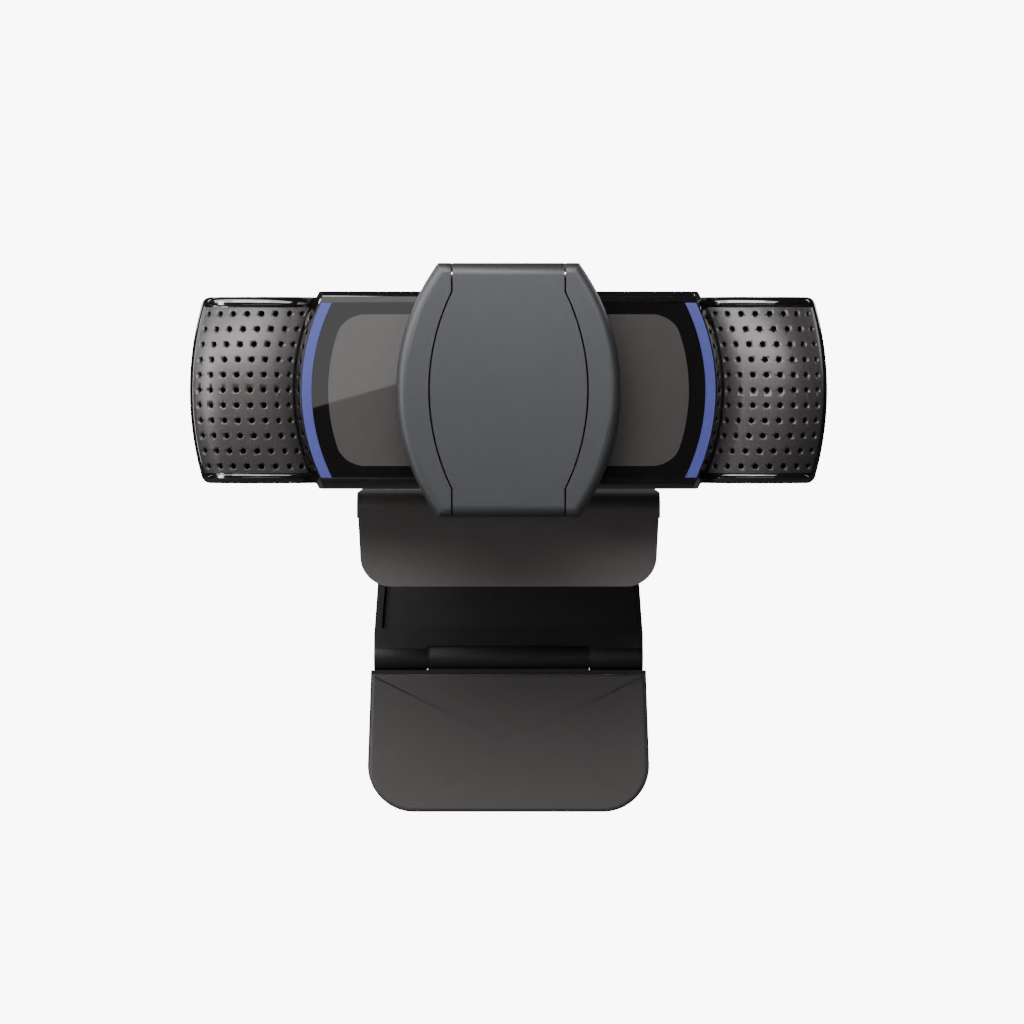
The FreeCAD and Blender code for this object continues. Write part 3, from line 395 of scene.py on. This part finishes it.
# %% [markdown]
# The lens elements and the infrared filter are glass. Gloss over black would be cheaper, but with the
# shutter open one looks down into the barrel, so the glass really bends the light. The blue light guides
# and the circuit board come with them: their glow and their tracks are drawn in the material, since no
# shape is needed.

# %% Clear pieces
def clear(name, tint, roughness, ior, dust_mm=1.2):
    """A clear piece: light passes through it, and a faint smudge varies its roughness."""
    material, tree, place = new_material(name)
    smudge = add(tree, "TexNoise", Vector=place, Scale=1 / (dust_mm * MM), Detail=2.0).outputs["Fac"]
    rough = add(tree, "MapRange", Value=smudge, To_Min=roughness * 0.5, To_Max=roughness * 1.5).outputs[0]
    close(tree, add(tree, "BsdfPrincipled", Base_Color=linear(tint), Roughness=rough, IOR=ior,
                    Transmission_Weight=1.0))
    return material


FINISH["lens_glass"] = clear("coated_optical_glass", "#39404f", 0.004, 1.52)
FINISH["filter_glass"] = clear("infrared_cut_filter", "#a8d6d2", 0.005, 1.52)


def light_pipe():
    """Blue acrylic that carries a little light: the glow drifts along it by a noise of 6 mm."""
    material, tree, place = new_material("blue_acrylic_light_pipe")
    drift = add(tree, "TexNoise", Vector=place, Scale=1 / (6 * MM), Detail=1.0).outputs["Fac"]
    tint = add(tree, "Mix", {"data_type": "RGBA"}, _0=drift, _6=linear("#2c2f66"),
               _7=linear("#343872")).outputs[2]
    grain = add(tree, "TexNoise", Vector=place, Scale=1 / (0.3 * MM), Detail=2.0).outputs["Fac"]
    bump = add(tree, "Bump", Height=grain, Strength=1.0, Distance=0.004 * MM).outputs[0]
    close(tree, add(tree, "BsdfPrincipled", Base_Color=tint, Roughness=0.3, Normal=bump,
                    Emission_Color=tint, Emission_Strength=0.30, Coat_Weight=0.4, Coat_Roughness=0.1))
    return material


FINISH["light_blue"] = light_pipe()


def circuit_board():
    """Green solder mask. The copper tracks under it are the joints of a brick pattern, a shade lighter."""
    material, tree, place = new_material("solder_mask_on_fr4")
    flat = add(tree, "Mapping", {"vector_type": "POINT"}, Vector=place,
               Rotation=(math.pi / 2, 0, 0)).outputs[0]
    tracks = add(tree, "TexBrick", Vector=flat, Scale=1 / (4 * MM), Color1=linear("#0f4d2a"),
                 Color2=linear("#0c4424"), Mortar=linear("#2c7a47"), Mortar_Size=0.03)
    close(tree, add(tree, "BsdfPrincipled", Base_Color=tracks.outputs[0], Roughness=0.3, Coat_Weight=0.3,
                    Coat_Roughness=0.15))
    return material


FINISH["board_green"] = circuit_board()
print("finishes in all:", len(FINISH))

# %% [markdown]
# The frame's pieces keep their shapes. Their meshes are loose triangles, so a Weld joins them, and then a
# small Bevel breaks the sharp edges as a mould's does. The edges could be CAD fillets instead, but a
# modifier is easier to try at several widths, and it leaves the CAD model's faces as they are.

# %% Dress the CAD nodes
SLOT_OF = {row["node"]: row["material_slot"] for row in frame["record"]["subparts"]}
EDGE_MM = {"shutter_frame": 0.35, "shutter_door": 0.25, "front_frame": 0.3, "rear_shell": 0.3,
           "clip_plate": 0.5, "arm_shell": 0.3, "foot_shell": 0.3, "tilt_neck": 0.3}
for name, node in NODES.items():
    node.data.materials.clear()
    node.data.materials.append(FINISH[SLOT_OF[name]])
    weld = node.modifiers.new("weld", "WELD")
    weld.merge_threshold = 0.002 * MM
    if name in EDGE_MM:
        bevel = node.modifiers.new("edge", "BEVEL")
        bevel.width = EDGE_MM[name] * MM
        bevel.segments = 3
        bevel.angle_limit = math.radians(35)
        bevel.harden_normals = True
print("dressed", len(NODES), "nodes")

# %% [markdown]
# A round rubber or plastic piece is a profile turned about an axis. The whole surface is one array: every
# point of the profile at every angle. A Screw modifier could turn the profile too, but an array also
# takes shapes that aren't turned, so one helper makes the mesh of every piece below.

# %% Mesh from a grid
def grid_piece(name, points, close_u, close_v):
    """points is (u, v, 3). Each quad joins four neighbours. close_u and close_v join the last row or column
    to the first."""
    rows, columns = points.shape[:2]
    index = np.arange(rows * columns).reshape(rows, columns)
    if close_u:
        index = np.vstack([index, index[:1]])
    if close_v:
        index = np.hstack([index, index[:, :1]])
    corners = [index[:-1, :-1], index[1:, :-1], index[1:, 1:], index[:-1, 1:]]
    quads = np.stack(corners, axis=-1).reshape(-1, 4)
    mesh = bpy.data.meshes.new(name)
    mesh.from_pydata(points.reshape(-1, 3).tolist(), [], quads.tolist())
    sculpt = bmesh.new()
    sculpt.from_mesh(mesh)
    bmesh.ops.remove_doubles(sculpt, verts=sculpt.verts, dist=0.001 * MM)
    bmesh.ops.recalc_face_normals(sculpt, faces=sculpt.faces)
    sculpt.to_mesh(mesh)
    sculpt.free()
    mesh.shade_smooth()
    mesh.set_sharp_from_angle(angle=math.radians(40))
    piece = bpy.data.objects.new(name, mesh)
    bpy.context.scene.collection.objects.link(piece)
    return piece


def finish_piece(piece, body, slot, *replaced):
    """Paints a piece from a material slot, sets it on its body and hides the CAD parts that it replaces."""
    piece.data.materials.append(FINISH[slot])
    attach(piece, body)
    if replaced:
        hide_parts(*replaced)
    print(piece.name, "on", body, "|", len(piece.data.polygons), "faces")


print("mesh helpers ready")

# %% [markdown]
# The trim ring round the lens steps down like a funnel. The steps are baffles: they keep stray light off
# the lens, and they are what shows as fine rings when the shutter is open. A bump could fake them from
# the front, but not from the side, so they are in the profile.

# %% Lens ring
def turned_about_y(profile, centre_x, centre_z, turns=128):
    """Turns (radius, y) pairs about a line along Y: x = centre + r cos a, z = centre + r sin a."""
    radius, depth = np.array(profile).T * MM
    angle = np.linspace(0, 2 * np.pi, turns, endpoint=False)[:, None]
    return np.stack([centre_x + radius * np.cos(angle), np.broadcast_to(depth, (turns, len(depth))),
                     centre_z + radius * np.sin(angle)], axis=-1)


def arc(centre, radius, start, end, steps=6):
    """Points on part of a circle: centre + radius (cos a, sin a), from start to end in degrees."""
    a = np.radians(np.linspace(start, end, steps))
    return np.stack([centre[0] + radius * np.cos(a), centre[1] + radius * np.sin(a)], axis=1).tolist()


# radii and places along Y, in mm
RING_BACK_Y, RING_MOUTH_R, RING_R = -38.65, 4.7, 9.88
MOUTH_EDGE_Y, FIRST_STEP_Y = -40.15, -40.2
STEPS, STEP_WIDTH, STEP_RISE = 7, 0.55, 0.45
TREAD_FALL, RISER_TOP, RISER_LEAN = 0.16, 0.42, 0.01
NOSE_IN, NOSE_DOWN, NOSE_R = 0.1, 0.08, 0.06
RIM_INSIDE, RIM_INSIDE_R = (8.98, -43.1), 0.42
RIM_OUTSIDE, RIM_OUTSIDE_R = (9.40, -43.04), 0.48

ring_profile = [(RING_MOUTH_R, RING_BACK_Y), (RING_MOUTH_R, MOUTH_EDGE_Y)]
for step in range(STEPS):
    low_r = RING_MOUTH_R + (step + 0.1) * STEP_WIDTH
    depth = FIRST_STEP_Y - step * STEP_RISE
    ring_profile += arc((low_r + NOSE_IN, depth - NOSE_DOWN), NOSE_R, 180, 270, 3)
    ring_profile += [(low_r + STEP_WIDTH, depth - TREAD_FALL),
                     (low_r + STEP_WIDTH + RISER_LEAN, depth - RISER_TOP)]
ring_profile += arc(RIM_INSIDE, RIM_INSIDE_R, 180, 270, 5) + arc(RIM_OUTSIDE, RIM_OUTSIDE_R, -90, 0, 6)
ring_profile.append((RING_R, RING_BACK_Y))
ring = turned_about_y(ring_profile, 0.0, AXIS_Z)
finish_piece(grid_piece("stepped_lens_ring", ring.transpose(1, 0, 2), True, True), "head", "gloss_black",
             "lens_ring")

# %% [markdown]
# The cable's gland is moulded rubber. Ribs round its flange let it bend, and its mouth is rounded so that
# the cable isn't cut. Each rib is an arc in the profile of the same kind of turned surface, so that its
# rounding is one number.

# %% Cable gland
GLAND_X = -14.0
BORE_R, PLUG_R, PLUG_START_Y, FLANGE_Y = 1.9, 3.15, -18.35, -16.05
# each rounding: its centre's radius and y, its own radius, and the arc's start, end and steps
FLANGE_EDGE = ((4.0, -15.78), 0.25, 270, 360, 4)
RIBS = (((3.95, -15.42), 0.14, -60, 60, 4), ((3.45, -15.05), 0.28, -30, 60, 5),
        ((2.9, -14.88), 0.2, 10, 90, 4))
GLAND_MOUTH = ((2.2, -14.95), 0.3, 90, 180, 6)
gland_profile = [(BORE_R, PLUG_START_Y), (PLUG_R, PLUG_START_Y), (PLUG_R, FLANGE_Y)]
for rounding in (FLANGE_EDGE, *RIBS, GLAND_MOUTH):
    gland_profile += arc(*rounding)
gland = turned_about_y(gland_profile, GLAND_X * MM, AXIS_Z)
finish_piece(grid_piece("ribbed_cable_gland", gland.transpose(1, 0, 2), True, True), "head", "boot_rubber",
             "cable_gland")

# %% [markdown]
# The foot's rubber pad is a moulded slab with rolled edges. Its outline is a half width for each height,
# with the lower corners rounded, and each ring of the surface is that outline drawn in and raised along a
# quarter circle. A Bevel on a plain slab is the other way. The formula was chosen because it keeps the
# rings evenly spaced all round, corners included.

# %% Foot pad
def bowed_outline(half_width, low, high, low_corner, high_corner, count=72):
    """A closed loop in x and z. At height z the half width is half_width(z), less a corner's rounding
    r - sqrt(r^2 - d^2), with d the distance above or below the corner's centre."""
    share = (1 - np.cos(np.linspace(0, np.pi, count))) / 2
    z = low + (high - low) * share
    into_low = np.clip(low + low_corner - z, 0, low_corner)
    into_high = np.clip(z - high + high_corner, 0, high_corner)
    cut = (low_corner - np.sqrt(low_corner ** 2 - into_low ** 2)
           + high_corner - np.sqrt(high_corner ** 2 - into_high ** 2))
    x = half_width(z) - cut
    right = np.stack([x, z], axis=1)
    return np.vstack([right, right[::-1] * (-1, 1)])


def rolled_slab(outline, back, front, edge, rings=7):
    """The outline is drawn in by edge (1 - cos a) along its own normal while the depth goes out by
    edge sin a. Then it shrinks to its middle, which fills the flat face."""
    ahead = np.roll(outline, -1, axis=0) - outline
    ahead /= np.maximum(np.linalg.norm(ahead, axis=1, keepdims=True), 1e-9)
    along = ahead + np.roll(ahead, 1, axis=0)
    along /= np.maximum(np.linalg.norm(along, axis=1, keepdims=True), 1e-9)
    inward = np.stack([-along[:, 1], along[:, 0]], axis=1)
    angle = np.linspace(0, np.pi / 2, rings)
    draw, depth = edge * (1 - np.cos(angle)), front + edge * (1 - np.sin(angle))
    rim = outline[:, None] + inward[:, None] * draw[None, :, None]
    middle = (outline.max(axis=0) + outline.min(axis=0)) / 2
    # the first rings are close to the rim, so that its smooth shading stays there
    share = np.concatenate([[0.99, 0.97], np.linspace(0.85, 0.0, 6)])
    face = middle + (rim[:, -1:] - middle) * share[None, :, None]
    back_middle = np.broadcast_to(middle, (len(outline), 1, 2))
    columns = np.concatenate([back_middle, outline[:, None], rim, face], axis=1)
    depths = np.concatenate([[back, back], depth, np.full(len(share), front)])
    depths = np.broadcast_to(depths, columns.shape[:2])
    return np.stack([columns[..., 0], depths, columns[..., 1]], axis=-1) * MM


pad_low, pad_high = (np.array(corner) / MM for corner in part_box("foot_pad"))
PAD_TOP_HALF, PAD_FLARE = 21.65, 14.5        # half width at the top, and the height of the flare
PAD_CORNER_R, PAD_TOP_CORNER_R, PAD_EDGE_R = 7.15, 0.3, 0.45


def pad_half_width(z):
    """The pad widens evenly from its top edge to where its lower corners start."""
    return PAD_TOP_HALF + (pad_high[0] - PAD_TOP_HALF) * np.clip((pad_high[2] - z) / PAD_FLARE, 0, 1)


pad_outline = bowed_outline(pad_half_width, pad_low[2], pad_high[2], PAD_CORNER_R, PAD_TOP_CORNER_R)
pad_skin = rolled_slab(pad_outline, pad_high[1], pad_low[1], PAD_EDGE_R)
finish_piece(grid_piece("rolled_foot_pad", pad_skin, True, False), "clip_foot", "foot_rubber", "foot_pad")

# %% [markdown]
# Each wing has a bead along its top and bottom edge. Polished plastic shows such a bead as one long
# bright streak that tapers at both ends. A fillet of the frame's edge could give a streak, but its width
# would follow the edge. So the bead is an oval carried along the wing's arch, and it shrinks to a point
# at each end.

# %% Rim beads
ARCH_MID, ARCH_RADIUS, ARCH_CENTRE_Y = 39.0, 10.6, -28.6
BEAD_Z, BEAD_HALF, BEAD_DEPTH, BEAD_TILT = 12.95, 0.70, 0.32, math.radians(16)
BEAD_MID, BEAD_REACH = 39.2, 6.9             # its middle and half length along the arch


def bead(side, level, across=96, round_steps=24):
    """Radius r runs along the arch: y = centre - sqrt(R^2 - (r - middle)^2), x = sqrt(r^2 - z^2). The oval
    has a half height and a depth, is tilted back, and is scaled by (1 - t^8) ^ 0.5 for t from -1 to 1."""
    t = np.sin(np.linspace(-np.pi / 2, np.pi / 2, across))[:, None]
    radius = BEAD_MID + BEAD_REACH * t
    taper = np.sqrt(np.clip(1 - t ** 8, 0, 1))
    turn = np.linspace(0, 2 * np.pi, round_steps, endpoint=False)[None, :]
    tall = BEAD_HALF * taper * np.sin(turn)
    deep = -BEAD_DEPTH * taper * np.cos(turn)
    up = tall * math.cos(BEAD_TILT) - deep * math.sin(BEAD_TILT)
    out = deep * math.cos(BEAD_TILT) + tall * math.sin(BEAD_TILT)
    y = ARCH_CENTRE_Y - np.sqrt(ARCH_RADIUS ** 2 - (radius - ARCH_MID) ** 2) + out
    x = np.broadcast_to(np.sqrt(radius ** 2 - BEAD_Z ** 2), y.shape)
    return np.stack([side * x, y, AXIS_Z / MM + level * (BEAD_Z + up)], axis=-1) * MM


BEADS = ((-1, 1, "left_top"), (1, 1, "right_top"), (-1, -1, "left_low"), (1, -1, "right_low"))
for side, level, name in BEADS:
    finish_piece(grid_piece(f"rim_bead_{name}", bead(side, level), False, True), "head", "gloss_black")
